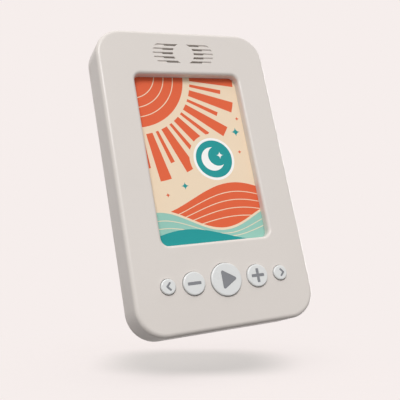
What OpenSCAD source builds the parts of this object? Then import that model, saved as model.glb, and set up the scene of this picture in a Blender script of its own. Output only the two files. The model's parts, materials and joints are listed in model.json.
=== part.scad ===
// Hand-held audio story player for children, standing on its bottom edge.
// X runs to the right as seen from the front, Y from the front to the back, Z up.
// The origin is the middle of the bottom edge, half way through the depth.
// A story block slides in from behind and shows its label through the front window.

/* [Casing] */
// Width of the casing
body_w = 100; // [99:1:120]
// Height of the casing
body_h = 165.6; // [165.3:0.1:180]
// Depth of the casing without the buttons
body_d = 20; // [20:0.5:26]
// Radius of the outline's corners
corner_r = 15.3; // [12:0.1:18]
// Rounding of the front edge
front_edge_r = 2.2; // [1:0.1:2.2]
// Rounding of the back edge
back_edge_r = 2.5; // [1:0.1:2.8]
// Wall thickness of the casing
wall = 2.2; // [1.8:0.1:2.4]
// Depth of the rear shell's rim, from the back to the parting line
rear_rim = 3.6; // [3.4:0.1:4.5]
// How far the rear shell's locating lip reaches into the front shell
lip_reach = 1.6; // [1:0.1:2]
// Width of the shadow gap round the joint of the two shells
seam_w = 0.3; // [0.2:0.05:0.5]
// Depth of that shadow gap
seam_depth = 0.3; // [0.15:0.05:0.4]

/* [Window] */
// Width of the window between its walls
window_w = 62; // [56:0.5:63]
// Height of the window between its walls
window_h = 95; // [90:0.1:96]
// Height of the window's lower edge above the base
window_z = 44.6; // [44.4:0.1:44.8]
// Radius of the window's corners
window_r = 4; // [3:0.1:6]
// Rounding of the window's rim
window_edge_r = 1.65; // [0.8:0.05:2]
// Depth of the window's walls
window_depth = 4.8; // [4.4:0.1:5.4]

/* [Story block and its bay] */
// How far the bay reaches past the window at each side
bay_lap_side = 5; // [4.6:0.1:5.2]
// How far the bay reaches past the window at the top
bay_lap_top = 2.4; // [1.6:0.1:2.6]
// How far the bay reaches past the window at the bottom
bay_lap_bottom = 5.5; // [5.2:0.1:5.6]
// Wall of the sleeve that lines the bay
bay_wall = 1.5; // [1.2:0.1:1.6]
// Gap between the block and the bay on every side
bay_gap = 0.3; // [0.2:0.05:0.4]
// Radius of the block's upright corners
block_r = 3; // [2:0.1:4]
// Rounding of the block's front and back edges
block_edge_r = 0.8; // [0.3:0.1:1.2]
// Wall of the block
block_wall = 1.6; // [1.2:0.1:1.8]
// How far the block's back lies inside the casing's back
block_sunk = 0.3; // [0:0.1:0.6]
// Thickness of the printed label
label_t = 0.3; // [0.2:0.05:0.5]
// How far the label reaches past the window on each side
label_lap = 1; // [0.6:0.1:1.2]

/* [Buttons] */
// Height of the row of buttons above the base
button_z = 24.2; // [23.4:0.1:24.6]
// Diameter of the play button
play_d = 17; // [15:0.1:17.6]
// Diameter of the two volume buttons
volume_d = 11.8; // [10:0.1:12.4]
// Diameter of the two skip buttons
skip_d = 7.8; // [7:0.1:8.6]
// Distance from the middle to a volume button
volume_x = 18; // [17.8:0.1:18.6]
// Distance from the middle to a skip button
skip_x = 31.8; // [31.5:0.1:33]
// How far a button stands out of the front
button_proud = 1.2; // [0.8:0.1:1.6]
// How far a button can be pressed
button_travel = 0.6; // [0.4:0.1:0.7]
// Gap around a button in its hole
button_gap = 0.25; // [0.15:0.05:0.4]
// Rounding of a button's front edge
button_edge_r = 0.7; // [0.3:0.1:0.9]
// How far a button's flange reaches behind the front wall
flange_reach = 1; // [0.7:0.1:1.2]
// Thickness of a button's flange
flange_t = 1; // [0.8:0.1:1.3]

/* [Button symbols] */
// Depth of a symbol's inlay
icon_t = 0.3; // [0.2:0.05:0.5]
// Stroke of the plus and minus signs
sign_stroke = 1.5; // [1:0.1:2]
// Length of the plus and minus signs
sign_len = 7.2; // [5:0.1:7.6]
// Width of the play triangle
triangle_w = 7.8; // [6:0.1:8.4]
// Height of the play triangle
triangle_h = 9.2; // [7:0.1:9.6]
// Stroke of the skip arrows
arrow_stroke = 0.95; // [0.6:0.05:1.2]
// Height of the skip arrows
arrow_h = 4.2; // [3:0.1:4.4]

/* [Speaker grille] */
// Distance from the top of the casing to the grille's middle
grille_drop = 13.6; // [13.4:0.1:13.7]
// Distance from one row of slots to the next
slot_pitch = 2.57; // [2.2:0.01:2.6]
// Height of a slot
slot_h = 1.2; // [0.8:0.1:1.4]
// Radius of the plain disc in the middle
grille_disc_r = 6.25; // [5:0.05:7]
// Half length of the slots that go through
slot_reach = 12.45; // [10:0.05:13]
// Half length of the shallow grooves
groove_reach = 18.1; // [15:0.1:20]
// Depth of the shallow grooves
groove_depth = 0.5; // [0.2:0.1:1]

/* [Speaker] */
// Width of the speaker
speaker_w = 40; // [34:0.5:42]
// Height of the speaker
speaker_h = 14.4; // [13.4:0.1:14.6]
// Depth of the speaker's basket
basket_d = 4.5; // [4.2:0.1:5]
// Wall of the speaker's basket
basket_wall = 0.9; // [0.7:0.05:1]
// Width of the soft ring round the cone
surround_w = 1.5; // [1.2:0.1:1.7]
// Outer radius of the voice coil
coil_r = 3.9; // [3.4:0.1:4]
// Gap on each side of the voice coil
coil_gap = 0.2; // [0.15:0.05:0.3]
// Thickness of the magnet
magnet_t = 1.6; // [1.2:0.1:2]
// Thickness of the foam ring in front of the speaker
gasket_t = 0.8; // [0.5:0.1:1]
// Thickness of the dust mesh behind the grille
mesh_t = 0.3; // [0.2:0.05:0.4]

/* [Circuit board] */
// Distance from the front wall's inside to the board
board_standoff = 5.9; // [5.8:0.1:6.1]
// Thickness of the board
board_t = 1.6; // [1.4:0.1:1.7]
// Gap between the board and the walls around it
board_gap = 0.8; // [0.6:0.1:1.2]
// Height of the board's lower edge above the base
board_z = 6; // [5:0.1:6.5]
// Side of a push switch's body
switch_w = 4.5; // [4:0.1:5]
// Height of a push switch's body
switch_h = 3; // [2.6:0.1:3.1]
// Radius of a push switch's plunger
plunger_r = 1.1; // [0.8:0.1:1.3]
// Height of the charging socket's middle above the base
usb_z = 29; // [28.6:0.1:29.8]
// Height of the headphone socket's middle above the base
jack_z = 19.5; // [18.6:0.1:19.8]

/* [Battery] */
// Width of the battery
battery_w = 52; // [44:0.5:52]
// Height of the battery
battery_h = 33.5; // [28:0.1:34]
// Thickness of the battery
battery_t = 5.5; // [4:0.1:5.6]
// Thickness of the foam tape behind the battery
battery_pad_t = 0.5; // [0.3:0.1:0.7]

/* [Fixings] */
// Radius of the casing's screw posts
post_r = 3.2; // [2.8:0.1:3.3]
// Distance from the casing's sides, top and base to the corner screws
post_inset = 10.4; // [10:0.1:11]
// Radius of a casing screw's shank
screw_r = 1.3; // [1:0.05:1.4]
// Radius of a casing screw's head
screw_head_r = 2.3; // [2.1:0.1:2.4]
// Length of a casing screw's shank
screw_len = 12; // [10:0.5:12]
// Radius of a board screw's shank
board_screw_r = 1; // [0.8:0.05:1.1]
// Diameter of a bay magnet
bay_magnet_d = 3; // [2:0.1:3.2]

/* [Hidden] */
$fn = 48;
// Clearance of pieces that are set into one another and don't move
fit = 0.05;
// Overshoot of a cut past the face that it opens
over = 1;

// Depths, from the front to the back
face_y = (button_proud - body_d) / 2;
back_y = face_y + body_d;
inner_front_y = face_y + wall;
inner_back_y = back_y - wall;
part_y = back_y - rear_rim;
frame_back_y = face_y + window_depth;
seat_gap = 0.2;
block_front_y = frame_back_y + seat_gap;
block_back_y = back_y - block_sunk;

// The bay and the block
mid_z = body_h / 2;
window_mid_z = window_z + window_h / 2;
bay_w = window_w + 2 * bay_lap_side;
bay_z0 = window_z - bay_lap_bottom;
bay_z1 = window_z + window_h + bay_lap_top;
bay_h = bay_z1 - bay_z0;
bay_mid_z = (bay_z0 + bay_z1) / 2;
bay_r = block_r + bay_gap;
sleeve_w = bay_w + 2 * bay_wall;
sleeve_h = bay_h + 2 * bay_wall;
sleeve_r = bay_r + bay_wall;
block_w = bay_w - 2 * bay_gap;
block_h = bay_h - 2 * bay_gap;
block_cover_t = block_wall;
block_split_y = block_back_y - block_cover_t;
block_inner_y = block_front_y + block_wall;
block_floor_z = bay_z0 + bay_gap + block_wall;
block_inner_w = block_w - 2 * block_wall;
block_rim_t = 1.2;
block_rim_d = 2;

// Contacts between the player and the block
contact_count = 5;
contact_pitch = 2.5;
contact_z = bay_z0 + 2.7;
pin_r = 0.45;
pin_show = 0.4;
pin_sunk = 1.8;
pad_r = 0.8;
carrier_w = 15;
carrier_h = 3.8;
carrier_back_y = block_front_y - pin_show;
carrier_front_y = inner_front_y + 0.1;
carrier_gap = 0.2;
ribbon_w = 8;
ribbon_t = 0.3;
ribbon_bend_r = 1.2;
ribbon_y = (carrier_front_y + carrier_back_y) / 2;
ribbon_drop = 4.6;
memory_board_w = 24;
memory_board_h = 12;
memory_board_t = 1;
memory_chip_w = 8;
memory_chip_h = 6;
memory_chip_t = 1;
keeper_w = 3.8;
keeper_h = 46;
keeper_t = 1;
bay_magnet_t = 2;
bay_magnet_x = window_w / 2 + bay_lap_side / 2 + 0.1;
bay_magnet_dz = 17.5;
sleeve_front_y = frame_back_y + seat_gap;

// Buttons
flange_gap = 0.1;
flange_y0 = inner_front_y + flange_gap;
flange_y1 = flange_y0 + flange_t;
cap_y = face_y - button_proud;
play_triangle_dx = 1.3;
triangle_r = 0.8;
corner_steps = 8;
sign_r = 0.35;
arrow_angle = 47;
next_arrow_dx = 0.9;
plunger_in = 0.3;
plunger_room = 0.3;

// Board
board_y0 = inner_front_y + board_standoff;
board_y1 = board_y0 + board_t;
board_top = bay_z0 - bay_wall - 1;
board_half_w = body_w / 2 - wall - board_gap;
board_step_z = post_inset + post_r + 1.6;
board_foot_half_w = body_w / 2 - post_inset - post_r - board_gap;
board_hole_inset = 3.4;
board_hole_x = (volume_x + skip_x) / 2;
board_hole_z = [board_z + board_hole_inset, board_top - board_hole_inset];
board_post_r = 2.5;
board_screw_len = 5;
board_screw_head_r = 1.9;
board_screw_head_t = 1.2;

// Components on the board's back
processor_x = -8;
processor_drop = 14;
processor_size = [9, 1, 9];
amplifier_x = -24;
amplifier_drop = 16;
amplifier_size = [4, 0.9, 4];
charger_dx = 10.5;
charger_dz = 7.5;
charger_size = [3, 0.9, 3];
inductor_dx = 3.5;
inductor_dz = 8.5;
inductor_size = [4, 2, 4];
capacitor_dx = 3;
capacitor_dz = 12.8;
capacitor_pitch = 2.2;
capacitor_count = 4;
capacitor_size = [1.2, 1.2, 2];

// Sockets in the right-hand side
usb_w = 8.94;
usb_t = 3.26;
usb_len = 7.3;
usb_shell_t = 0.3;
usb_tongue_w = 6.7;
usb_tongue_t = 0.7;
usb_tongue_len = 4.6;
usb_sunk = 0.8;
jack_w = 6;
jack_t = 5;
jack_len = 12.5;
jack_nose_r = 2.5;
jack_bore_r = 1.8;
jack_sunk = 0.3;
socket_gap = 0.3;

// Battery and plugs
battery_x1 = 18;
battery_y1 = inner_back_y - battery_pad_t;
battery_y0 = battery_y1 - battery_t;
battery_mid_z = (wall + bay_z0 - bay_wall) / 2;
battery_r = 1.5;
plug_w = 4;
plug_h = 6;
plug_t = 3.2;
battery_plug_x = 28;
plug_drop = 9;
plug_z = board_top - plug_drop;
lead_r = 0.5;
lead_pitch = 1.4;
lead_turn = 1.1;
lead_gap = 0.3;
lead_sides = 8;
lead_drop = 2.4;
lead_x = -(body_w / 2 - wall - lead_gap - lead_r);
speaker_plug_drop = 7.6;
speaker_plug_x = lead_x + lead_turn + 1;
speaker_plug_z = board_top - speaker_plug_drop;

// Screw posts: four corners and the middle of each side
side_post_gap = 2 * (lead_gap + lead_r);
side_post_x = body_w / 2 - wall - side_post_gap - post_r;
corner_post_x = body_w / 2 - post_inset;
posts = [
    [corner_post_x, post_inset],
    [side_post_x, window_mid_z],
    [corner_post_x, body_h - post_inset]
];
screw_head_t = 1.5;
screw_sunk = 1.8;
screw_seat_y = back_y - screw_sunk;
post_join_y = screw_seat_y - 5.8;
post_join_gap = 0.1;
screw_room = 0.15;
cross_w = 0.7;
cross_len = 2.6;
cross_depth = 0.9;

// Speaker
grille_z = body_h - grille_drop;
slot_rows = 5;
slot_end_r = 8;
groove_end_r = 6.9;
mesh_y0 = inner_front_y;
gasket_y0 = mesh_y0 + mesh_t;
gasket_w = 1.4;
basket_y0 = gasket_y0 + gasket_t;
basket_y1 = basket_y0 + basket_d;
basket_floor_t = 1.2;
basket_in_w = speaker_w - 2 * basket_wall;
basket_in_h = speaker_h - 2 * basket_wall;
surround_y = basket_y0 + 1;
surround_t = 0.25;
cone_w = basket_in_w - 2 * surround_w;
cone_h = basket_in_h - 2 * surround_w;
cone_t = 0.3;
cone_drop = 1.2;
cone_slope = 1.1;
cone_floor_y = surround_y + cone_drop;
dome_r = 3.4;
dome_h = 0.8;
coil_t = 0.3;
plate_t = 1.2;
yoke_in_r = coil_r + coil_gap;
yoke_r = yoke_in_r + 1.3;
yoke_floor_t = 1.2;
yoke_gap = 0.2;
yoke_y1 = basket_y1 + yoke_gap + plate_t + magnet_t + yoke_floor_t;
speaker_pad_t = 1.2;
speaker_pad_r = 3.8;
speaker_post_r = 4.4;
fence_t = 1;
fence_gap = 0.15;

// Marks on the back
plate_recess = 0.3;
plate_w = 50;
plate_h = 18;
plate_r = 3;
grip_w = 34;
grip_h = 15;
grip_r = 3;
grip_depth = 0.7;
grip_ribs = 4;
grip_rib_h = 1.2;
grip_pitch = 3.4;
grip_rise = 14;
grip_z = bay_mid_z - block_h / 2 + grip_rise;
scoop_r = 20;
scoop_depth = 1.2;

casing_colour = [0.85, 0.82, 0.79];
cap_colour = [0.86, 0.87, 0.88];
icon_colour = [0.5, 0.51, 0.53];
dark_colour = [0.16, 0.16, 0.17];
steel_colour = [0.72, 0.73, 0.75];
gold_colour = [0.83, 0.66, 0.32];
board_colour = [0.1, 0.36, 0.24];
foam_colour = [0.25, 0.25, 0.27];
label_colour = [0.93, 0.84, 0.73];
block_colour = [0.93, 0.92, 0.9];
battery_colour = [0.62, 0.64, 0.67];
lead_colour = [0.75, 0.15, 0.12];

// ---- Outlines, drawn in X and Z about their own middle ----

module round_rect(w, h, r) {
    square([w - 2 * r, h], center = true);
    square([w, h - 2 * r], center = true);
    for (x = [-1, 1], z = [-1, 1])
        translate([x * (w / 2 - r), z * (h / 2 - r)])
            circle(r);
}

// A bar with half-round ends
module pill(w, h) {
    square([w - h, h], center = true);
    for (x = [-1, 1])
        translate([x * (w - h) / 2, 0])
            circle(h / 2);
}

// ---- Placing ----

// Stretches an outline from one depth to another
module depth(y0, y1) {
    translate([0, y1, 0])
        rotate([90, 0, 0])
            linear_extrude(height = y1 - y0)
                children();
}

module rod(r, y0, y1) {
    translate([0, y1, 0])
        rotate([90, 0, 0])
            cylinder(r = r, h = y1 - y0);
}

module at(x, z) {
    translate([x, 0, z])
        children();
}

// Lays a shape that was built upwards so that it faces the front, from depth y forwards
module facing_front(y, z) {
    translate([0, y, z])
        rotate([90, 0, 0])
            children();
}

// Lays a shape that was built upwards so that it faces the back, from depth y backwards
module facing_back(y, z) {
    translate([0, y, z])
        rotate([-90, 0, 0])
            children();
}

// ---- Plates with a shaped edge ----
// The edge's section runs from the corner's centre outwards and is carried round the outline.

module edged_plate(w, h, r, t) {
    span_w = w / 2 - r;
    span_h = h / 2 - r;
    translate([-span_w, -span_h, 0])
        cube([2 * span_w, 2 * span_h, t]);
    for (turn = [0:3]) {
        out = turn % 2 == 0 ? span_w : span_h;
        along = turn % 2 == 0 ? span_h : span_w;
        rotate([0, 0, 90 * turn])
            translate([out, along, 0]) {
                rotate_extrude(angle = 90)
                    children();
                rotate([90, 0, 0])
                    linear_extrude(height = 2 * along)
                        children();
            }
    }
}

module rounded_edge(r, t, e) {
    square([r - e, t]);
    square([r, t - e]);
    translate([r - e, t - e])
        intersection() {
            circle(e);
            square(e);
        }
}

// Section of a hole whose rim is rounded over
module flared_edge(r, t, e) {
    square([r, t]);
    translate([r, t - e])
        difference() {
            square([e, e]);
            translate([e, 0])
                circle(e);
        }
    translate([0, t])
        square([r + e, over]);
}

module soft_plate(w, h, r, t, e) {
    edged_plate(w, h, r, t)
        rounded_edge(r, t, e);
}

// A ring of one section carried round a bar with half-round ends
module pill_ring(w, h) {
    span = (w - h) / 2;
    for (side = [0, 1])
        rotate([0, 0, 180 * side])
            translate([span, 0, 0]) {
                rotate([0, 0, -90])
                    rotate_extrude(angle = 180)
                        translate([h / 2, 0])
                            children();
                rotate([90, 0, -90])
                    linear_extrude(height = 2 * span)
                        translate([h / 2, 0])
                            children();
            }
}

// ---- Leads: a round section swept along corners that turn on small arcs ----

turn_steps = 4;

function unit(v) = v / norm(v);

function arc_points(a, b, c, r) =
    let (
        u = unit(a - b),
        w = unit(c - b),
        centre = b + r * (u + w)
    )
    [for (i = [0:turn_steps])
        let (t = 90 * i / turn_steps)
        centre - r * (w * cos(t) + u * sin(t))];

function lead_path(corners, r) = [
    corners[0],
    for (i = [1:len(corners) - 2])
        each arc_points(corners[i - 1], corners[i], corners[i + 1], r),
    corners[len(corners) - 1]
];

function tangent(path, i) =
    unit(path[min(i + 1, len(path) - 1)] - path[max(i - 1, 0)]);

function frames(path, i, side) =
    i == len(path)
        ? []
        : let (
            t = tangent(path, i),
            m = unit(side - (side * t) * t)
        )
        concat([[m, cross(t, m)]], frames(path, i + 1, m));

module lead(corners, side) {
    path = lead_path(corners, lead_turn);
    frame = frames(path, 0, side);
    n = lead_sides;
    last = len(path) - 1;
    points = [
        for (i = [0:last], k = [0:n - 1])
            let (a = 360 * k / n)
            path[i] + lead_r * (cos(a) * frame[i][0] + sin(a) * frame[i][1])
    ];
    sides = [
        for (i = [0:last - 1], k = [0:n - 1])
            let (
                a = i * n + k,
                b = i * n + (k + 1) % n
            )
            each [[a, b + n, b], [a, a + n, b + n]]
    ];
    caps = [
        for (k = [1:n - 2])
            each [[0, k, k + 1], [last * n, last * n + k + 1, last * n + k]]
    ];
    polyhedron(points = points, faces = concat(sides, caps));
}

// ---- Casing ----

module each_post() {
    for (side = [-1, 1], p = posts)
        at(side * p[0], p[1])
            children();
}

module each_button() {
    at(0, button_z)
        children();
    for (side = [-1, 1]) {
        at(side * volume_x, button_z)
            children();
        at(side * skip_x, button_z)
            children();
    }
}

module each_board_hole() {
    for (side = [-1, 1], z = board_hole_z)
        at(side * board_hole_x, z)
            children();
}

module each_contact() {
    for (i = [0:contact_count - 1])
        at((i - (contact_count - 1) / 2) * contact_pitch, contact_z)
            children();
}

module each_bay_magnet() {
    for (x = [-1, 1], z = [-1, 1])
        at(x * bay_magnet_x, window_mid_z + z * bay_magnet_dz)
            children();
}

module casing_outline(inset) {
    translate([0, mid_z])
        round_rect(body_w - 2 * inset, body_h - 2 * inset, corner_r - inset);
}

module bay_outline(grow) {
    translate([0, bay_mid_z])
        round_rect(bay_w + 2 * grow, bay_h + 2 * grow, bay_r + grow);
}

// Rows of slots that stop at the plain disc and at an outer rounded end
module slot_rows(reach, end_r) {
    intersection() {
        difference() {
            pill(2 * reach, 2 * end_r);
            circle(grille_disc_r);
        }
        for (row = [0:slot_rows - 1])
            translate([0, (row - (slot_rows - 1) / 2) * slot_pitch])
                square([2 * reach + over, slot_h], center = true);
    }
}

module usb_opening(gap) {
    translate([body_w / 2 - usb_sunk - usb_len, board_y1 + usb_t / 2, usb_z])
        rotate([90, 0, 90])
            linear_extrude(height = usb_len + usb_sunk + over)
                rotate(90)
                    pill(usb_w + 2 * gap, usb_t + 2 * gap);
}

module jack_opening() {
    translate([body_w / 2 - wall - over, board_y1 + jack_t / 2, jack_z])
        rotate([0, 90, 0])
            cylinder(r = jack_nose_r + socket_gap, h = wall + 2 * over);
}

module front_shell() {
    color(casing_colour)
        difference() {
            union() {
                difference() {
                    facing_front(part_y, mid_z)
                        soft_plate(body_w, body_h, corner_r, part_y - face_y, front_edge_r);
                    depth(inner_front_y, part_y + over)
                        casing_outline(wall);
                    depth(part_y - lip_reach - 2 * fit, part_y + over)
                        casing_outline(wall / 2);
                    // Shadow gap round the joint with the rear shell
                    depth(part_y - seam_w, part_y + over)
                        difference() {
                            casing_outline(-over);
                            casing_outline(seam_depth);
                        }
                }
                // Frame behind the window, on which the block seats
                depth(inner_front_y - over, frame_back_y)
                    bay_outline(bay_wall);
                // Screw posts
                each_post()
                    rod(post_r, inner_front_y - over, post_join_y);
                each_board_hole()
                    rod(board_post_r, inner_front_y - over, board_y0);
                // Fence that locates the speaker
                depth(inner_front_y - over, frame_back_y)
                    translate([0, grille_z])
                        pill(speaker_w + 2 * (fence_gap + fence_t), speaker_h + 2 * (fence_gap + fence_t));
            }
            // Window with its rounded rim
            facing_front(frame_back_y, window_mid_z)
                edged_plate(window_w, window_h, window_r, window_depth)
                    flared_edge(window_r, window_depth, window_edge_r);
            depth(frame_back_y - over, frame_back_y + over)
                translate([0, window_mid_z])
                    round_rect(window_w, window_h, window_r);
            // Grille: grooves, slots and the speaker's room behind them
            depth(face_y - over, face_y + groove_depth)
                translate([0, grille_z])
                    slot_rows(groove_reach, groove_end_r);
            depth(face_y - over, inner_front_y + over)
                translate([0, grille_z])
                    slot_rows(slot_reach, slot_end_r);
            depth(inner_front_y, frame_back_y + over)
                translate([0, grille_z])
                    pill(speaker_w + 2 * fence_gap, speaker_h + 2 * fence_gap);
            // Button holes
            at(0, button_z)
                rod(play_d / 2 + button_gap, face_y - over, inner_front_y + over);
            for (side = [-1, 1]) {
                at(side * volume_x, button_z)
                    rod(volume_d / 2 + button_gap, face_y - over, inner_front_y + over);
                at(side * skip_x, button_z)
                    rod(skip_d / 2 + button_gap, face_y - over, inner_front_y + over);
            }
            // Screw bores
            each_post()
                rod(screw_r + fit, screw_seat_y - screw_len - over, post_join_y + over);
            each_board_hole()
                rod(board_screw_r + fit, board_y1 - board_screw_len - over / 2, board_y0 + over);
            // Pockets for the magnets and the contacts
            each_bay_magnet()
                rod(bay_magnet_d / 2 + fit, frame_back_y - bay_magnet_t, frame_back_y + over);
            depth(inner_front_y, frame_back_y + over)
                translate([-carrier_w / 2 - carrier_gap, bay_z0 - bay_wall - over])
                    square([
                        carrier_w + 2 * carrier_gap,
                        contact_z + carrier_h / 2 + carrier_gap - bay_z0 + bay_wall + over
                    ]);
            usb_opening(socket_gap);
            jack_opening();
        }
}

module rear_shell() {
    color(casing_colour)
        difference() {
            union() {
                difference() {
                    facing_back(part_y, mid_z)
                        soft_plate(body_w, body_h, corner_r, rear_rim, back_edge_r);
                    depth(part_y - over, inner_back_y)
                        casing_outline(wall);
                }
                // Lip that locates the two shells
                difference() {
                    depth(part_y - lip_reach, part_y + fit)
                        casing_outline(wall / 2 + 2 * fit);
                    depth(part_y - lip_reach - over, part_y + over)
                        casing_outline(wall);
                }
                // Sleeve that lines the bay
                depth(sleeve_front_y, inner_back_y + over)
                    bay_outline(bay_wall);
                each_post()
                    rod(post_r, post_join_y + post_join_gap, inner_back_y + over);
                // Post that presses the speaker forward
                at(0, grille_z)
                    rod(speaker_post_r, yoke_y1 + speaker_pad_t, inner_back_y + over);
            }
            depth(sleeve_front_y - over, back_y + over)
                bay_outline(0);
            each_post() {
                rod(screw_r + screw_room, screw_seat_y - screw_len - screw_room, back_y + over);
                rod(screw_head_r + screw_room, screw_seat_y, back_y + over);
            }
            // Bare recessed plate under the bay
            depth(back_y - plate_recess, back_y + over)
                translate([0, battery_mid_z])
                    round_rect(plate_w, plate_h, plate_r);
            finger_scoop();
        }
}

// Shallow dish at the bay's lower edge, for a fingertip
module finger_scoop() {
    translate([0, back_y + scoop_r - scoop_depth, bay_z0])
        sphere(scoop_r);
}

module case_screws() {
    color(steel_colour)
        each_post()
            difference() {
                union() {
                    rod(screw_head_r, screw_seat_y, screw_seat_y + screw_head_t);
                    rod(screw_r, screw_seat_y - screw_len, screw_seat_y + screw_head_t / 2);
                }
                for (turn = [0, 90])
                    translate([0, screw_seat_y + screw_head_t - cross_depth / 2 + over / 2, 0])
                        rotate([0, turn, 0])
                            cube([cross_len, cross_depth + over, cross_w], center = true);
            }
}

// ---- Buttons ----

// A cap with a rounded front edge and a flange that keeps it behind the front wall
module cap(d) {
    difference() {
        facing_front(flange_y1, 0)
            rotate_extrude() {
                rounded_edge(d / 2, flange_y1 - cap_y, button_edge_r);
                square([d / 2 + flange_reach, flange_t]);
            }
        depth(cap_y - over, cap_y + icon_t)
            children();
    }
}

module inlay() {
    depth(cap_y, cap_y + icon_t)
        children();
}

module plunger() {
    rod(plunger_r, flange_y1, board_y0 - switch_h + plunger_in);
}

// The symbols, each grown by the clearance of its pocket
module triangle_symbol(grow) {
    r = triangle_r + grow;
    left = play_triangle_dx - triangle_w / 2 + triangle_r;
    right = play_triangle_dx + triangle_w / 2 - triangle_r;
    half = triangle_h / 2 - triangle_r;
    slope = atan2(half, right - left);
    // Each corner's centre, and the angles at which its arc starts and ends
    corners = [
        [left, half, 90 - slope, 180],
        [left, -half, 180, 270 + slope],
        [right, 0, slope - 90, 90 - slope]
    ];
    polygon([
        for (c = corners, i = [0:corner_steps])
            let (a = c[2] + (c[3] - c[2]) * i / corner_steps)
            [c[0] + r * cos(a), c[1] + r * sin(a)]
    ]);
}

module minus_symbol(grow) {
    round_rect(sign_len + 2 * grow, sign_stroke + 2 * grow, sign_r + grow);
}

module plus_symbol(grow) {
    minus_symbol(grow);
    rotate(90)
        minus_symbol(grow);
}

// An arrowhead that points to the left, its tip and its arms' ends rounded
module arrow_symbol(grow) {
    arm = (arrow_h - arrow_stroke) / 2 / sin(arrow_angle);
    tip = -arm * cos(arrow_angle) / 2;
    for (side = [-1, 1])
        translate([tip, 0])
            rotate(side * arrow_angle)
                translate([arm / 2, 0])
                    pill(arm + arrow_stroke + 2 * grow, arrow_stroke + 2 * grow);
}

module next_symbol(grow) {
    translate([next_arrow_dx, 0])
        mirror([1, 0])
            arrow_symbol(grow);
}

module play_cap() {
    color(cap_colour)
        at(0, button_z)
            cap(play_d)
                triangle_symbol(fit);
}

module play_icon() {
    color(icon_colour)
        at(0, button_z)
            inlay()
                triangle_symbol(0);
}

module play_plunger() {
    color(dark_colour)
        at(0, button_z)
            plunger();
}

module volume_down_cap() {
    color(cap_colour)
        at(-volume_x, button_z)
            cap(volume_d)
                minus_symbol(fit);
}

module volume_down_icon() {
    color(icon_colour)
        at(-volume_x, button_z)
            inlay()
                minus_symbol(0);
}

module volume_down_plunger() {
    color(dark_colour)
        at(-volume_x, button_z)
            plunger();
}

module volume_up_cap() {
    color(cap_colour)
        at(volume_x, button_z)
            cap(volume_d)
                plus_symbol(fit);
}

module volume_up_icon() {
    color(icon_colour)
        at(volume_x, button_z)
            inlay()
                plus_symbol(0);
}

module volume_up_plunger() {
    color(dark_colour)
        at(volume_x, button_z)
            plunger();
}

module back_cap() {
    color(cap_colour)
        at(-skip_x, button_z)
            cap(skip_d)
                arrow_symbol(fit);
}

module back_icon() {
    color(icon_colour)
        at(-skip_x, button_z)
            inlay()
                arrow_symbol(0);
}

module back_plunger() {
    color(dark_colour)
        at(-skip_x, button_z)
            plunger();
}

module next_cap() {
    color(cap_colour)
        at(skip_x, button_z)
            cap(skip_d)
                next_symbol(fit);
}

module next_icon() {
    color(icon_colour)
        at(skip_x, button_z)
            inlay()
                next_symbol(0);
}

module next_plunger() {
    color(dark_colour)
        at(skip_x, button_z)
            plunger();
}

// ---- Speaker ----

module speaker_mesh() {
    color(dark_colour)
        depth(mesh_y0, mesh_y0 + mesh_t)
            translate([0, grille_z])
                pill(speaker_w, speaker_h);
}

module speaker_gasket() {
    color(foam_colour)
        depth(gasket_y0, gasket_y0 + gasket_t)
            translate([0, grille_z])
                difference() {
                    pill(speaker_w, speaker_h);
                    pill(speaker_w - 2 * gasket_w, speaker_h - 2 * gasket_w);
                }
}

module speaker_basket() {
    color(dark_colour)
        difference() {
            depth(basket_y0, basket_y1)
                translate([0, grille_z])
                    pill(speaker_w, speaker_h);
            depth(basket_y0 - over, basket_y1 - basket_floor_t)
                translate([0, grille_z])
                    pill(basket_in_w, basket_in_h);
            at(0, grille_z)
                rod(yoke_in_r, basket_y0, basket_y1 + over);
        }
}

// Half roll between the basket and the cone
module speaker_surround() {
    roll_r = surround_w / 2;
    color(foam_colour)
        facing_front(surround_y, grille_z)
            pill_ring(cone_w, cone_h)
                translate([roll_r, 0])
                    intersection() {
                        difference() {
                            circle(roll_r);
                            circle(roll_r - surround_t);
                        }
                        translate([-roll_r, 0])
                            square([2 * roll_r, roll_r]);
                    }
}

// Shallow oblong dish: a flat floor and a sloping wall
module speaker_cone() {
    color(dark_colour) {
        facing_front(surround_y, grille_z)
            pill_ring(cone_w, cone_h)
                polygon([
                    [-fit, 0],
                    [-fit, -cone_t],
                    [-cone_slope, -cone_drop - cone_t],
                    [-cone_slope - cone_t, -cone_drop]
                ]);
        depth(cone_floor_y, cone_floor_y + cone_t)
            translate([0, grille_z])
                pill(cone_w - 2 * cone_slope, cone_h - 2 * cone_slope);
    }
}

module speaker_dust_cap() {
    ball_r = (dome_r * dome_r + dome_h * dome_h) / (2 * dome_h);
    color(dark_colour)
        facing_front(cone_floor_y, grille_z)
            rotate_extrude($fn = 96)
                intersection() {
                    translate([0, dome_h - ball_r])
                        circle(ball_r, $fn = 360);
                    square([dome_r + over, dome_h]);
                }
}

module speaker_coil() {
    color(gold_colour)
        at(0, grille_z)
            difference() {
                rod(coil_r, cone_floor_y + cone_t, basket_y1 + plate_t);
                rod(coil_r - coil_t, cone_floor_y, basket_y1 + plate_t + over);
            }
}

module speaker_top_plate() {
    color(steel_colour)
        at(0, grille_z)
            rod(coil_r - coil_t - coil_gap, basket_y1 + yoke_gap, basket_y1 + yoke_gap + plate_t);
}

module speaker_magnet() {
    y0 = basket_y1 + yoke_gap + plate_t;
    color(steel_colour)
        at(0, grille_z)
            rod(coil_r - coil_t - 2 * coil_gap, y0, y0 + magnet_t);
}

module speaker_yoke() {
    color(steel_colour)
        at(0, grille_z)
            difference() {
                rod(yoke_r, basket_y1, yoke_y1);
                rod(yoke_in_r, basket_y1 - over, yoke_y1 - yoke_floor_t);
            }
}

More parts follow.
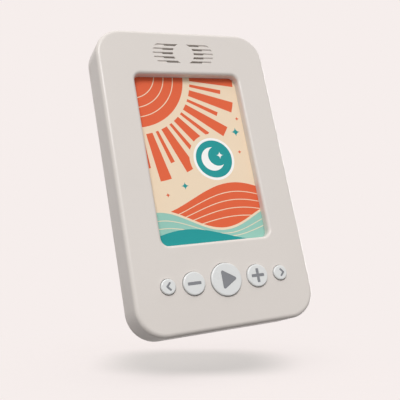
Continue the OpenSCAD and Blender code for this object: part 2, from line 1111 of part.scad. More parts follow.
module speaker_pad() {
    color(foam_colour)
        at(0, grille_z)
            rod(speaker_pad_r, yoke_y1, yoke_y1 + speaker_pad_t);
}

module speaker_plug() {
    color(block_colour)
        translate([speaker_plug_x, board_y1, speaker_plug_z - plug_w / 2])
            cube([plug_h, plug_t, plug_w]);
}

// Two leads from the speaker's back, along the left side and down to their plug
module speaker_leads() {
    start_x = -speaker_w / 4;
    run_z = bay_z1 + bay_wall + lead_drop;
    color(lead_colour)
        for (i = [0, 1]) {
            y = board_y1 + plug_t / 2 + (i - 0.5) * lead_pitch;
            z = run_z + i * lead_pitch;
            x = start_x - i * lead_pitch;
            lead(
                [
                    [x, basket_y1, z],
                    [x, y, z],
                    [lead_x, y, z],
                    [lead_x, y, speaker_plug_z],
                    [speaker_plug_x, y, speaker_plug_z]
                ],
                [1, 0, 0]
            );
        }
}

// ---- Circuit board ----

module main_board() {
    color(board_colour)
        difference() {
            depth(board_y0, board_y1) {
                translate([-board_half_w, board_step_z])
                    square([2 * board_half_w, board_top - board_step_z]);
                translate([-board_foot_half_w, board_z])
                    square([2 * board_foot_half_w, board_top - board_z]);
            }
            each_board_hole()
                rod(board_screw_r + 2 * fit, board_y0 - over, board_y1 + over);
        }
}

module board_screws() {
    color(steel_colour)
        each_board_hole() {
            rod(board_screw_head_r, board_y1, board_y1 + board_screw_head_t);
            rod(board_screw_r, board_y1 - board_screw_len, board_y1 + board_screw_head_t / 2);
        }
}

module switch_bodies() {
    color(dark_colour)
        each_button()
            difference() {
                translate([-switch_w / 2, board_y0 - switch_h, -switch_w / 2])
                    cube([switch_w, switch_h, switch_w]);
                rod(
                    plunger_r + 2 * fit,
                    board_y0 - switch_h - over,
                    board_y0 - switch_h + plunger_in + button_travel + plunger_room
                );
            }
}

// A flat component on the board's back: its middle, then its width, thickness and height
module chip(middle, size) {
    translate([middle[0] - size[0] / 2, board_y1, middle[1] - size[2] / 2])
        cube(size);
}

module processor_chip() {
    color(dark_colour)
        chip([processor_x, board_top - processor_drop], processor_size);
}

module amplifier_chip() {
    color(dark_colour)
        chip([amplifier_x, board_top - amplifier_drop], amplifier_size);
}

module charger_chip() {
    color(dark_colour)
        chip([battery_x1 + charger_dx, board_z + charger_dz], charger_size);
}

module power_inductor() {
    color(foam_colour)
        chip([battery_x1 + inductor_dx, board_z + inductor_dz], inductor_size);
}

module board_capacitors() {
    color(gold_colour)
        for (i = [0:capacitor_count - 1])
            chip(
                [battery_x1 + capacitor_dx + i * capacitor_pitch, board_z + capacitor_dz],
                capacitor_size
            );
}

module usb_shell() {
    color(steel_colour)
        difference() {
            translate([body_w / 2 - usb_sunk - usb_len, board_y1 + usb_t / 2, usb_z])
                rotate([90, 0, 90])
                    linear_extrude(height = usb_len)
                        rotate(90)
                            pill(usb_w, usb_t);
            translate([usb_shell_t, 0, 0])
                usb_opening(-usb_shell_t);
        }
}

module usb_tongue() {
    floor_x = body_w / 2 - usb_sunk - usb_len + usb_shell_t;
    color(dark_colour)
        translate([floor_x, board_y1 + (usb_t - usb_tongue_t) / 2, usb_z - usb_tongue_w / 2])
            cube([usb_tongue_len, usb_tongue_t, usb_tongue_w]);
}

module headphone_jack() {
    nose_x = body_w / 2 - wall - socket_gap;
    color(dark_colour)
        difference() {
            union() {
                translate([nose_x - jack_len, board_y1, jack_z - jack_w / 2])
                    cube([jack_len, jack_t, jack_w]);
                translate([nose_x - over, board_y1 + jack_t / 2, jack_z])
                    rotate([0, 90, 0])
                        cylinder(r = jack_nose_r, h = body_w / 2 - jack_sunk - nose_x + over);
            }
            translate([nose_x - jack_len + over, board_y1 + jack_t / 2, jack_z])
                rotate([0, 90, 0])
                    cylinder(r = jack_bore_r, h = jack_len + wall + over);
        }
}

// ---- Battery ----

module battery_pack() {
    color(battery_colour)
        depth(battery_y0, battery_y1)
            translate([battery_x1 - battery_w / 2, battery_mid_z])
                round_rect(battery_w, battery_h, battery_r);
}

module battery_pad() {
    margin = 4;
    color(foam_colour)
        depth(battery_y1, inner_back_y)
            translate([battery_x1 - battery_w / 2, battery_mid_z])
                round_rect(battery_w - 2 * margin, battery_h - 2 * margin, battery_r);
}

module battery_plug() {
    color(block_colour)
        translate([battery_plug_x, board_y1, plug_z - plug_h / 2])
            cube([plug_w, plug_t, plug_h]);
}

module battery_leads() {
    turn_x = (battery_x1 + battery_plug_x) / 2;
    high_y = (battery_y0 + battery_y1) / 2 + 0.6;
    low_y = board_y1 + plug_t / 2;
    color(lead_colour)
        for (i = [-0.5, 0.5]) {
            z = plug_z + i * lead_pitch;
            lead(
                [[battery_x1, high_y, z], [turn_x, high_y, z], [turn_x, low_y, z], [battery_plug_x, low_y, z]],
                [0, 0, 1]
            );
        }
}

// ---- Contacts and magnets of the bay ----

module contact_carrier() {
    color(dark_colour)
        difference() {
            translate([-carrier_w / 2, carrier_front_y, contact_z - carrier_h / 2])
                cube([carrier_w, carrier_back_y - carrier_front_y, carrier_h]);
            each_contact()
                rod(pin_r + fit, carrier_back_y - pin_sunk, carrier_back_y + over);
        }
}

module contact_pins() {
    color(gold_colour)
        each_contact()
            rod(pin_r, carrier_back_y - pin_sunk, block_front_y);
}

// Flat flex from the carrier down to the board's front
module contact_ribbon() {
    top_z = contact_z - carrier_h / 2;
    low_z = top_z - ribbon_drop;
    mid_r = ribbon_bend_r;
    color(gold_colour)
        translate([-ribbon_w / 2, 0, 0]) {
            translate([0, ribbon_y - ribbon_t / 2, low_z + mid_r])
                cube([ribbon_w, ribbon_t, top_z - low_z - mid_r]);
            translate([0, ribbon_y + mid_r, low_z - ribbon_t / 2])
                cube([ribbon_w, board_y0 - ribbon_y - mid_r, ribbon_t]);
            translate([0, ribbon_y + mid_r, low_z + mid_r])
                rotate([90, 0, 90])
                    linear_extrude(height = ribbon_w)
                        intersection() {
                            difference() {
                                circle(mid_r + ribbon_t / 2);
                                circle(mid_r - ribbon_t / 2);
                            }
                            translate([-2 * mid_r, -2 * mid_r])
                                square(2 * mid_r);
                        }
        }
}

module bay_magnets() {
    color(steel_colour)
        each_bay_magnet()
            rod(bay_magnet_d / 2, frame_back_y - bay_magnet_t, frame_back_y);
}

// ---- Story block ----

module label_outline(grow) {
    translate([0, window_mid_z])
        round_rect(
            window_w + 2 * (label_lap + grow),
            window_h + 2 * (label_lap + grow),
            window_r + label_lap + grow
        );
}

module block_shell() {
    color(block_colour)
        difference() {
            facing_front(block_split_y, bay_mid_z)
                soft_plate(block_w, block_h, block_r, block_split_y - block_front_y, block_edge_r);
            depth(block_inner_y, block_split_y + over)
                bay_outline(-bay_gap - block_wall);
            depth(block_front_y - over, block_front_y + label_t)
                label_outline(fit);
            each_contact()
                rod(pad_r + fit, block_front_y - over, block_inner_y + over);
        }
}

module block_cover() {
    color(block_colour)
        difference() {
            union() {
                facing_back(block_split_y, bay_mid_z)
                    soft_plate(block_w, block_h, block_r, block_cover_t, block_edge_r);
                difference() {
                    depth(block_split_y - block_rim_d, block_split_y + fit)
                        bay_outline(-bay_gap - block_wall - 2 * fit);
                    depth(block_split_y - block_rim_d - over, block_split_y)
                        bay_outline(-bay_gap - block_wall - 2 * fit - block_rim_t);
                }
            }
            // Ribbed grip
            depth(block_back_y - grip_depth, block_back_y + over)
                translate([0, grip_z])
                    difference() {
                        round_rect(grip_w, grip_h, grip_r);
                        for (i = [0:grip_ribs - 1])
                            translate([0, (i - (grip_ribs - 1) / 2) * grip_pitch])
                                pill(grip_w - 2 * grip_r, grip_rib_h);
                    }
            finger_scoop();
        }
}

module block_label() {
    color(label_colour)
        depth(block_front_y, block_front_y + label_t)
            label_outline(0);
}

module block_board() {
    color(board_colour)
        translate([-memory_board_w / 2, block_inner_y, block_floor_z + 2 * fit])
            cube([memory_board_w, memory_board_t, memory_board_h]);
}

module block_memory() {
    color(dark_colour)
        translate([
            -memory_chip_w / 2,
            block_inner_y + memory_board_t,
            block_floor_z + (memory_board_h - memory_chip_h) / 2
        ])
            cube([memory_chip_w, memory_chip_t, memory_chip_h]);
}

module block_pads() {
    color(gold_colour)
        each_contact()
            rod(pad_r, block_front_y, block_inner_y);
}

module block_keepers() {
    color(steel_colour)
        for (side = [-1, 1])
            translate([
                side * (block_inner_w / 2 - 2 * fit - keeper_w / 2) - keeper_w / 2,
                block_inner_y,
                window_mid_z - keeper_h / 2
            ])
                cube([keeper_w, keeper_t, keeper_h]);
}

front_shell();
rear_shell();
case_screws();
play_cap();
play_icon();
play_plunger();
volume_down_cap();
volume_down_icon();
volume_down_plunger();
volume_up_cap();
volume_up_icon();
volume_up_plunger();
back_cap();
back_icon();
back_plunger();
next_cap();
next_icon();
next_plunger();
speaker_mesh();
speaker_gasket();
speaker_basket();
speaker_surround();
speaker_cone();
speaker_dust_cap();
speaker_coil();
speaker_top_plate();
speaker_magnet();
speaker_yoke();
speaker_pad();
speaker_leads();
speaker_plug();
main_board();
board_screws();
switch_bodies();
processor_chip();
amplifier_chip();
charger_chip();
power_inductor();
board_capacitors();
usb_shell();
usb_tongue();
headphone_jack();
battery_pack();
battery_pad();
battery_leads();
battery_plug();
contact_carrier();
contact_pins();
contact_ribbon();
bay_magnets();
block_shell();
block_cover();
block_label();
block_board();
block_memory();
block_pads();
block_keepers();
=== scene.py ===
"""Looks of the audio story player: materials, light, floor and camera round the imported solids."""
import json
import math

import bpy
from mathutils import Matrix, Vector


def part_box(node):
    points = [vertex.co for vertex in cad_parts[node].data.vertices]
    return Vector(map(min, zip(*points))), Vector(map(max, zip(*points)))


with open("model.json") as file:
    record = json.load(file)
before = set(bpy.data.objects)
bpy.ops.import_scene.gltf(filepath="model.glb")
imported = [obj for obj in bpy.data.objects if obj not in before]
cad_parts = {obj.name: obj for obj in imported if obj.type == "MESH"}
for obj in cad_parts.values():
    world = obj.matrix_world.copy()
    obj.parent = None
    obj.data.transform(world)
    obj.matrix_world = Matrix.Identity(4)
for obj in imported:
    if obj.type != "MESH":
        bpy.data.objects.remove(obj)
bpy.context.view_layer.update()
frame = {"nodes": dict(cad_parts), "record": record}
scene = bpy.context.scene

MM = 0.001
# The span in which most of a noise lies
NOISE_LOW = 0.3
NOISE_HIGH = 0.7
# Linear colours
BLACK = (0, 0, 0, 1)
WHITE_LIGHT = (1, 1, 1, 1)

# ---- Colours, as sRGB values of 0 to 255 ----
BACKDROP = (246, 238, 236)
SHADOW = (218, 213, 210)
CASING = (218, 211, 205)
CAP = (221, 222, 221)
ICON = (128, 130, 134)
CREAM = (240, 218, 190)
ORANGE = (226, 100, 62)
MINT = (150, 200, 186)
TEAL = (32, 150, 150)
WHITE = (250, 248, 245)
DARK = (44, 44, 47)
BLOCK = (236, 233, 228)
STEEL = (196, 198, 202)
NICKEL = (208, 208, 210)
GOLD = (216, 172, 92)
FOIL = (170, 174, 180)
FOAM = (66, 66, 70)
MESH = (30, 28, 28)
BOARD = (22, 88, 60)
RUBBER = (34, 34, 34)
CONE = (46, 46, 48)
LEAD = (190, 44, 36)
FLEX = (212, 130, 44)
CERAMIC = (160, 130, 96)

# ---- Camera, as the photograph shows the player: from the left and a little below ----
CAMERA_AT = Vector((-142.5, -296.6, -11.7)) * MM
CAMERA_AIM = Vector((-1.87, 0.0, 69.56)) * MM
CAMERA_ROLL = -10.44
CAMERA_NEAREST = 0.01
FOCAL_MM = 56.59
SENSOR_MM = 36.0

# ---- Light: a soft key from the upper left, one from above and one from behind ----
AMBIENT = 0.39
KEY_FROM = Vector((-0.29, -0.79, 0.53)).normalized()
KEY_POWER = 1.97
KEY_ANGLE = 26
TOP_FROM = Vector((0.1, -0.3, 0.95)).normalized()
TOP_POWER = 0.8
TOP_ANGLE = 70
BACK_FROM = Vector((0.7, 0.68, 0.2)).normalized()
BACK_POWER = 1.9
BACK_ANGLE = 40

# ---- Floor, square to the photograph's upright, so the player floats over it at a tilt ----
FLOOR_UP = Vector((0.0626, -0.2911, 0.9547)).normalized()
FLOOR_RIGHT = Vector((0.9073, -0.382, -0.1759)).normalized()
FLOOR_DEEP = FLOOR_UP.cross(FLOOR_RIGHT)
FLOOR_MID = Vector((-11.0, 23.0, -12.9)) * MM
FLOOR_HALF = (170 * MM, 85 * MM)
FLOOR_SIDES = 96
# How much of the floor's brightness a real shadow can take away, the rest being its own glow
FLOOR_SHADE = 0.22
# The share of its colour with which the floor lights the player
FLOOR_BOUNCE = 0.25
# Where the patch starts to turn into the backdrop, as a share of its reach
FLOOR_FADE = 0.45
# The painted contact shadow: its reach, how squarish it is, and the share of it that is full
SHADOW_HALF = (60 * MM, 34 * MM)
SHADOW_SQUARE = 3
SHADOW_CORE = 0.42

# ---- Print on the label, in millimetres from its middle ----
PRINT_SOFT_MM = 0.08
MOON_AT = (9.0, -1.0)
# Sky that the sun's rays leave free round the moon's disc
MOON_CLEAR = 14.6
SUN_AT = (-33.0, 50.0)
SUN_RADIUS = 32.0
SUN_RINGS = (15.0, 20.5, 26.0)
SUN_RING_HALF = 0.24
# The rays: how far out they start, the degrees from one to the next and by which all are turned,
# and how wide a degree is where they are
RAYS_FROM = 36.0
RAY_PITCH = 15.0
RAY_TURN = 94.0
RAY_MM_PER_DEGREE = 0.8
# Long and short rays: turn and half width in degrees, and how far they reach
RAYS = (
    (0.0, 3.0, 63.0),
    (7.5, 1.3, 55.0),
)
# Stars: place, size and colour
STARS = (
    (25.5, 14.5, 3.0, TEAL),
    (28.0, 22.5, 1.5, ORANGE),
    (-11.0, -15.5, 2.4, TEAL),
    (-21.5, -20.0, 1.5, ORANGE),
    (25.5, 2.5, 1.5, ORANGE),
)


def linear(colour):
    """An sRGB colour of 0 to 255 as the linear values that a shader takes."""
    parts = [c / 255 for c in colour]
    parts = [c / 12.92 if c <= 0.04045 else ((c + 0.055) / 1.055) ** 2.4 for c in parts]
    return (*parts, 1)


def scaled(colour, share):
    """A linear colour made darker or lighter, and at most white."""
    return (*(min(1, c * share) for c in colour[:3]), 1)


# ---- Shader graphs written as sums ----

class Graph:
    """The nodes of one material or world, with short names for what is used here."""

    def __init__(self, tree):
        self.tree = tree
        tree.nodes.clear()

    def node(self, kind, **settings):
        """A new node with those settings."""
        made = self.tree.nodes.new(kind)
        for key, value in settings.items():
            setattr(made, key, value)
        return made

    def set(self, socket, value):
        """Give an input a number or a colour, or join it to an output."""
        if isinstance(value, Term):
            value = value.socket
        if isinstance(value, bpy.types.NodeSocket):
            self.tree.links.new(value, socket)
        else:
            socket.default_value = value

    def fill(self, node, *values):
        """Set a node's inputs in their order, and return its first output."""
        for socket, value in zip(node.inputs, values):
            self.set(socket, value)
        return node.outputs[0]

    def math(self, operation, *values, clamp=False):
        """One step of a sum."""
        made = self.node("ShaderNodeMath", operation=operation, use_clamp=clamp)
        return Term(self, self.fill(made, *values))

    def remap(self, value, low, high, to_low, to_high):
        """A value taken from one span to another, and held at its ends."""
        made = self.node("ShaderNodeMapRange")
        return Term(self, self.fill(made, value, low, high, to_low, to_high))

    def spread(self, noise, low, high):
        """A noise spread from low to high."""
        return self.remap(noise, NOISE_LOW, NOISE_HIGH, low, high)

    def mix(self, factor, low, high):
        """A colour between two others."""
        made = self.node("ShaderNodeMix", data_type="RGBA")
        names = {socket.identifier: socket for socket in made.inputs}
        self.set(names["Factor_Float"], factor)
        self.set(names["A_Color"], low)
        self.set(names["B_Color"], high)
        return next(out for out in made.outputs if out.identifier == "Result_Color")

    def choose(self, factor, low, high):
        """A shader between two others."""
        return self.fill(self.node("ShaderNodeMixShader"), factor, low, high)

    def end(self, kind, shader):
        """Join the last shader to an output node."""
        self.set(self.node(kind).inputs["Surface"], shader)

    def coordinates(self):
        """The place on the object in metres."""
        return self.node("ShaderNodeTexCoord").outputs["Object"]

    def position(self):
        """The place on the object in millimetres, as three terms."""
        split = self.node("ShaderNodeSeparateXYZ")
        self.set(split.inputs["Vector"], self.coordinates())
        return [Term(self, out) * (1 / MM) for out in split.outputs]

    def noise(self, size_mm, detail=2.0, roughness=0.5, stretch=(1, 1, 1)):
        """Soft noise with spots of about that size, finer along an axis that has more stretch."""
        mapping = self.node("ShaderNodeMapping")
        self.set(mapping.inputs["Vector"], self.coordinates())
        self.set(mapping.inputs["Scale"], [s / (size_mm * MM) for s in stretch])
        made = self.node("ShaderNodeTexNoise")
        self.set(made.inputs["Vector"], mapping.outputs[0])
        self.set(made.inputs["Scale"], 1.0)
        self.set(made.inputs["Detail"], detail)
        self.set(made.inputs["Roughness"], roughness)
        return Term(self, made.outputs["Fac"])

    def bump(self, height, depth_mm, edge_mm=0.0):
        """A relief of that depth, on edges that look broken by edge_mm."""
        made = self.node("ShaderNodeBump")
        if edge_mm:
            broken = self.node("ShaderNodeBevel", samples=6)
            self.set(broken.inputs["Radius"], edge_mm * MM)
            self.set(made.inputs["Normal"], broken.outputs[0])
        self.set(made.inputs["Strength"], 1.0)
        self.set(made.inputs["Distance"], depth_mm * MM)
        self.set(made.inputs["Height"], height)
        return made.outputs[0]

    def straight_ray(self):
        """1 for what the camera sees, also in gloss or through glass, and 0 for spread light."""
        path = self.node("ShaderNodeLightPath").outputs
        straight = self.math("MAXIMUM", path["Is Camera Ray"], path["Is Glossy Ray"])
        return self.math("MAXIMUM", straight, path["Is Transmission Ray"])


class Term:
    """A number in a shader graph that sums can be written with."""

    def __init__(self, graph, socket):
        self.graph = graph
        self.socket = socket

    def __add__(self, other):
        return self.graph.math("ADD", self, other)

    def __sub__(self, other):
        return self.graph.math("SUBTRACT", self, other)

    def __rsub__(self, other):
        return self.graph.math("SUBTRACT", other, self)

    def __mul__(self, other):
        return self.graph.math("MULTIPLY", self, other)

    def __truediv__(self, other):
        return self.graph.math("DIVIDE", self, other)

    def __pow__(self, other):
        return self.graph.math("POWER", self, other)

    def __abs__(self):
        return self.graph.math("ABSOLUTE", self)


# ---- Materials ----

def material(name):
    """A new material, its graph and the inputs of its surface shader."""
    made = bpy.data.materials.new(name)
    made.use_nodes = True
    graph = Graph(made.node_tree)
    shader = graph.node("ShaderNodeBsdfPrincipled")
    graph.end("ShaderNodeOutputMaterial", shader.outputs["BSDF"])
    return made, graph, shader.inputs


def moulded(name, colour, rough=0.34, grain_mm=0.35, grain_depth=0.012, tone=0.03):
    """Moulded plastic: a fine eroded grain, faint flow marks and an uneven sheen."""
    made, g, surface = material(name)
    base = linear(colour)
    flow_mm = 38
    flow_share = 0.7
    speck_mm = 1.3
    sheen_mm = 9
    sheen_spread = 0.05
    marks = g.noise(flow_mm, detail=3) * flow_share + g.noise(speck_mm) * (1 - flow_share)
    sheen = g.noise(sheen_mm, detail=4)
    grain = g.noise(grain_mm, roughness=0.6)
    g.set(surface["Base Color"], g.mix(marks, scaled(base, 1 - tone), scaled(base, 1 + tone)))
    g.set(surface["Roughness"], g.spread(sheen, rough - sheen_spread, rough + sheen_spread))
    g.set(surface["Normal"], g.bump(grain, grain_depth, edge_mm=0.14))
    return made


def metal(name, colour, rough=0.3, brushed=(1, 1, 12)):
    """Metal with fine lines left by its making."""
    made, g, surface = material(name)
    base = linear(colour)
    dark = 0.86
    smoother = 0.08
    rougher = 0.1
    line_mm = 0.6
    lines = g.noise(line_mm, detail=3, stretch=brushed)
    g.set(surface["Base Color"], g.mix(lines, scaled(base, dark), base))
    g.set(surface["Roughness"], g.spread(lines, rough - smoother, rough + rougher))
    g.set(surface["Metallic"], 1.0)
    g.set(surface["Normal"], g.bump(lines, depth_mm=0.004))
    return made


def foam(name, colour):
    """Open foam with dark cells."""
    made, g, surface = material(name)
    base = linear(colour)
    cell_mm = 0.45
    dark = 0.45
    cells = g.node("ShaderNodeTexVoronoi")
    g.set(cells.inputs["Vector"], g.coordinates())
    g.set(cells.inputs["Scale"], 1 / (cell_mm * MM))
    depth = cells.outputs["Distance"]
    g.set(surface["Base Color"], g.mix(depth, base, scaled(base, dark)))
    g.set(surface["Roughness"], 0.95)
    g.set(surface["Normal"], g.bump(depth, depth_mm=0.08))
    return made


def woven(name, colour, pitch_mm=0.32):
    """A fine black cloth of crossing threads."""
    made, g, surface = material(name)
    base = linear(colour)
    dark = 0.3
    turn_per_mm = 2 * math.pi / pitch_mm
    x, _, z = g.position()
    warp = g.math("SINE", x * turn_per_mm)
    weft = g.math("SINE", z * turn_per_mm)
    weave = warp * weft * 0.5 + 0.5
    g.set(surface["Base Color"], g.mix(weave, scaled(base, dark), base))
    g.set(surface["Roughness"], 0.9)
    g.set(surface["Normal"], g.bump(weave, depth_mm=0.06))
    return made


def circuit(name, colour):
    """Solder mask over copper tracks."""
    made, g, surface = material(name)
    base = linear(colour)
    light = 1.7
    track_half = 0.3
    sway_mm = 6

    def tracks(place, half_pitch, bend_mm):
        swayed = place + g.noise(bend_mm) * sway_mm
        return g.math("LESS_THAN", g.math("PINGPONG", swayed, half_pitch), track_half)

    x, _, z = g.position()
    upright = tracks(x, half_pitch=1.1, bend_mm=9)
    level = tracks(z, half_pitch=1.6, bend_mm=11)
    copper = g.math("MAXIMUM", upright, level)
    g.set(surface["Base Color"], g.mix(copper, base, scaled(base, light)))
    g.set(surface["Roughness"], 0.32)
    g.set(surface["Normal"], g.bump(copper, depth_mm=0.03))
    return made


def printed_label():
    """Laminated paper with a print of a sun, a moon and hills."""
    made, g, surface = material("printed_label")
    card = Print(g, CREAM)
    print_sun(card)
    for x, z, size, colour in STARS:
        card.lay(card.star(x, z, size), colour)
    print_rear_hill(card)
    print_middle_hill(card)
    print_front_hill(card)
    print_moon(card)
    fibre_mm = 0.22
    fibre_shade = 0.06
    sheen_mm = 6
    smoothest = 0.48
    roughest = 0.58
    fibre = g.noise(fibre_mm, detail=3)
    g.set(surface["Base Color"], g.mix(g.spread(fibre, 0, fibre_shade), card.ink, BLACK))
    g.set(surface["Roughness"], g.spread(g.noise(sheen_mm), smoothest, roughest))
    g.set(surface["Specular IOR Level"], 0.25)
    g.set(surface["Normal"], g.bump(fibre, depth_mm=0.006))
    return made


class Print:
    """Flat inks laid one over another on the label, in millimetres from its middle."""

    def __init__(self, graph, ground):
        low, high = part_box("block_label")
        mid = (low + high) / 2 / MM
        x, _, z = graph.position()
        self.graph = graph
        self.x = x - mid.x
        self.z = z - mid.z
        self.ink = linear(ground)

    def lay(self, mask, colour):
        """Cover what is printed so far with an ink, where the mask is 1."""
        self.ink = self.graph.mix(mask, self.ink, linear(colour))

    def inside(self, distance):
        """1 where a distance is below nought, with a soft edge."""
        return self.graph.math("SUBTRACT", 0.5, distance / PRINT_SOFT_MM, clamp=True)

    def below(self, line):
        """1 under a line that runs across the label."""
        return self.inside(self.z - line)

    def along(self, line, half_width):
        """1 on a line that runs across the label."""
        return self.inside(abs(self.z - line) - half_width)

    def away(self, x, z):
        """How far a point lies from a place."""
        across = self.x - x
        up = self.z - z
        return (across * across + up * up) ** 0.5

    def wave(self, rate, start):
        """A swell across the label, between -1 and 1."""
        return self.graph.math("SINE", self.x * rate + start)

    def star(self, x, z, size, bend=0.55):
        """A star of four points with hollow sides."""
        reach = abs(self.x - x) ** bend + abs(self.z - z) ** bend
        return self.inside((reach - size ** bend) * size)


def print_sun(card):
    """A ringed sun in the upper left-hand corner, with rays that keep clear of the moon."""
    x, z = SUN_AT
    far = card.away(x, z)
    turn = card.graph.math("ARCTAN2", card.z - z, card.x - x) * (180 / math.pi) + RAY_TURN
    sky = card.inside(MOON_CLEAR - card.away(*MOON_AT))
    for start, half_width, reach in RAYS:
        off_middle = card.graph.math("PINGPONG", turn + start, RAY_PITCH / 2)
        ray = card.inside((off_middle - half_width) * RAY_MM_PER_DEGREE)
        length = card.inside(far - reach) * card.inside(RAYS_FROM - far)
        card.lay(ray * length * sky, ORANGE)
    card.lay(card.inside(far - SUN_RADIUS), ORANGE)
    for ring in SUN_RINGS:
        card.lay(card.inside(abs(far - ring) - SUN_RING_HALF), CREAM)


def print_rear_hill(card):
    """An orange hill, with thin furrows that flatten downwards."""
    height = 8.0
    foot = -23.0
    flatten = 0.3
    furrow_half = 0.22
    swell = card.wave(rate=0.062, start=0.5)
    card.lay(card.below(swell * height + foot), ORANGE)
    for drop in (4.0, 7.5, 11.0, 14.5):
        furrow = swell * (height - drop * flatten) + (foot - drop)
        card.lay(card.along(furrow, furrow_half), CREAM)


def print_middle_hill(card):
    """A mint hill with a pale brow, and thin furrows that flatten and shift downwards."""
    height = 6.0
    foot = -35.0
    brow = 1.3
    flatten = 0.4
    shift = 0.04
    furrow_half = 0.2
    rate = 0.085
    start = -2.2
    top = card.wave(rate, start) * height + foot
    card.lay(card.below(top + brow), CREAM)
    card.lay(card.below(top), MINT)
    for drop in (3.2, 6.2):
        furrow = card.wave(rate, start - drop * shift) * (height - drop * flatten)
        card.lay(card.along(furrow + (foot - drop), furrow_half), CREAM)


def print_front_hill(card):
    """A plain teal hill at the label's foot."""
    height = 4.5
    foot = -43.5
    card.lay(card.below(card.wave(rate=0.07, start=2.6) * height + foot), TEAL)


def print_moon(card):
    """A crescent and a star on a white-rimmed disc."""
    rim_radius = 12.2
    disc_radius = 10.8
    moon_radius = 6.8
    bite_radius = 5.7
    x, z = MOON_AT
    far = card.away(x, z)
    card.lay(card.inside(far - rim_radius), WHITE)
    card.lay(card.inside(far - disc_radius), TEAL)
    full = card.inside(card.away(x - 0.7, z) - moon_radius)
    unbitten = card.inside(bite_radius - card.away(x + 2.4, z + 1.6))
    card.lay(full * unbitten, WHITE)
    card.lay(card.star(x + 3.8, z + 2.0, size=2.3), WHITE)


def materials_by_slot():
    """The finished material for each material slot that the record names."""
    return {
        "casing": moulded("casing_plastic", CASING),
        "cap": moulded("cap_plastic", CAP, rough=0.3, grain_mm=0.25, grain_depth=0.008, tone=0.012),
        "icon": moulded("icon_ink", ICON, rough=0.5, grain_mm=0.2, grain_depth=0.006),
        "dark_plastic": moulded("dark_plastic", DARK, rough=0.5),
        "block_plastic": moulded("block_plastic", BLOCK, rough=0.45, tone=0.015),
        "label": printed_label(),
        "steel": metal("zinc_steel", STEEL),
        "magnet": metal("nickel", NICKEL, rough=0.2),
        "gold": metal("gold_plate", GOLD, rough=0.22),
        "battery_foil": metal("battery_foil", FOIL, rough=0.45, brushed=(1, 1, 1)),
        "foam": foam("foam", FOAM),
        "mesh": woven("woven_mesh", MESH),
        "board": circuit("solder_mask", BOARD),
        "rubber_roll": moulded("soft_roll", RUBBER, rough=0.7),
        "cone_paper": moulded("cone_paper", CONE, rough=0.85, grain_mm=0.3, grain_depth=0.03),
        "lead": moulded("lead_cover", LEAD, rough=0.45),
        "flex": moulded("flex_film", FLEX, rough=0.35),
        "ceramic_chip": moulded("ceramic", CERAMIC, rough=0.6),
    }


def dress_nodes():
    """Give every solid the finished material of its slot."""
    finished = materials_by_slot()
    slot_of = {part["node"]: part["material_slot"] for part in frame["record"]["subparts"]}
    for name, node in frame["nodes"].items():
        for material_slot in node.material_slots:
            material_slot.material = finished[slot_of[name]]


# ---- Stage ----

def add(name, data):
    """A new object in the scene."""
    made = bpy.data.objects.new(name, data)
    scene.collection.objects.link(made)
    return made


def look_along(at, aim, roll_degrees):
    """The placing of a camera that stands at one point and looks at another."""
    turn = (aim - at).to_track_quat("-Z", "Y").to_matrix().to_4x4()
    return Matrix.Translation(at) @ turn @ Matrix.Rotation(math.radians(roll_degrees), 4, "Z")


def make_camera():
    data = bpy.data.cameras.new("camera")
    data.lens = FOCAL_MM
    data.sensor_width = SENSOR_MM
    data.sensor_fit = "HORIZONTAL"
    data.clip_start = CAMERA_NEAREST
    scene.camera = add("camera", data)
    scene.camera.matrix_world = look_along(CAMERA_AT, CAMERA_AIM, CAMERA_ROLL)


def lamp(name, towards, power, angle_degrees, spared=None):
    """A wide, distant lamp. It leaves the spared object unlit, so it casts no shadow there."""
    data = bpy.data.lights.new(name, "SUN")
    data.energy = power
    data.angle = math.radians(angle_degrees)
    made = add(name, data)
    made.matrix_world = towards.to_track_quat("Z", "Y").to_matrix().to_4x4()
    if spared:
        reach = bpy.data.collections.new(name + "_reach")
        reach.objects.link(spared)
        made.light_linking.receiver_collection = reach
        reach.collection_objects[0].light_linking.link_state = "EXCLUDE"


def share_of_reach(g, half, square=2):
    """How far out a point of the floor lies, as a share of an ellipse or a squarer form."""

    def part(direction, reach):
        along = g.node("ShaderNodeVectorMath", operation="DOT_PRODUCT")
        g.fill(along, g.coordinates(), direction / reach)
        return abs(Term(g, along.outputs["Value"])) ** square

    across, deep = half
    return (part(FLOOR_RIGHT, across) + part(FLOOR_DEEP, deep)) ** (1 / square)


def contact_shadow(g, plain):
    """The floor's colour, with a soft painted shadow in its middle."""
    fade = g.node("ShaderNodeMapRange", interpolation_type="SMOOTHSTEP")
    g.fill(fade, share_of_reach(g, SHADOW_HALF, SHADOW_SQUARE), SHADOW_CORE, 1.0)
    return g.mix(fade.outputs[0], linear(SHADOW), plain)


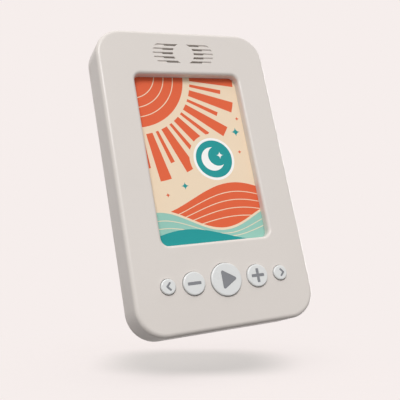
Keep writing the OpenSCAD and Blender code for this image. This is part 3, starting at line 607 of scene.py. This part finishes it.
def painted_floor(g, plain):
    """What is seen of the floor: partly lit, so that it takes shadows, and partly glowing."""
    light = AMBIENT + TOP_POWER * TOP_FROM.dot(FLOOR_UP) / math.pi
    colour = contact_shadow(g, plain)
    lit = g.fill(g.node("ShaderNodeBsdfDiffuse"), g.mix(FLOOR_SHADE / light, BLACK, colour))
    glow = g.fill(g.node("ShaderNodeEmission"), colour, 1 - FLOOR_SHADE)
    painted = g.fill(g.node("ShaderNodeAddShader"), lit, glow)
    backdrop = g.fill(g.node("ShaderNodeEmission"), plain)
    rim = g.remap(share_of_reach(g, FLOOR_HALF), FLOOR_FADE, 1.0, 0.0, 1.0)
    return g.choose(rim, painted, backdrop)


def floor_material():
    """The painted floor, seen from above only. Towards the player it is a dull diffuse surface."""
    made = bpy.data.materials.new("floor_paint")
    made.use_nodes = True
    g = Graph(made.node_tree)
    plain = linear(BACKDROP)
    seen = painted_floor(g, plain)
    bounce = g.fill(g.node("ShaderNodeBsdfDiffuse"), scaled(plain, FLOOR_BOUNCE))
    upper = g.choose(g.straight_ray(), bounce, seen)
    from_below = g.node("ShaderNodeNewGeometry").outputs["Backfacing"]
    clear = g.node("ShaderNodeBsdfTransparent").outputs[0]
    g.end("ShaderNodeOutputMaterial", g.choose(from_below, upper, clear))
    return made


def make_floor():
    """An elliptical patch with the backdrop's colour, darkened by a painted shadow in its middle
    and wherever the player shades it.
    """
    rim = []
    for i in range(FLOOR_SIDES):
        turn = 2 * math.pi * i / FLOOR_SIDES
        across = FLOOR_RIGHT * math.cos(turn) * FLOOR_HALF[0]
        deep = FLOOR_DEEP * math.sin(turn) * FLOOR_HALF[1]
        rim.append(across + deep)
    mesh = bpy.data.meshes.new("floor")
    mesh.from_pydata(rim, [], [list(range(FLOOR_SIDES))])
    mesh.materials.append(floor_material())
    floor = add("floor", mesh)
    floor.location = FLOOR_MID
    return floor


def make_world():
    """The backdrop for what is seen, and plain light for the rest."""
    world = bpy.data.worlds.new("studio")
    scene.world = world
    world.use_nodes = True
    g = Graph(world.node_tree)
    seen = g.fill(g.node("ShaderNodeBackground"), linear(BACKDROP))
    light = g.fill(g.node("ShaderNodeBackground"), WHITE_LIGHT, AMBIENT)
    g.end("ShaderNodeOutputWorld", g.choose(g.straight_ray(), light, seen))


dress_nodes()
make_camera()
floor = make_floor()
lamp("key_light", KEY_FROM, KEY_POWER, KEY_ANGLE, spared=floor)
lamp("top_light", TOP_FROM, TOP_POWER, TOP_ANGLE)
lamp("back_light", BACK_FROM, BACK_POWER, BACK_ANGLE, spared=floor)
make_world()
scene.view_settings.view_transform = "Standard"
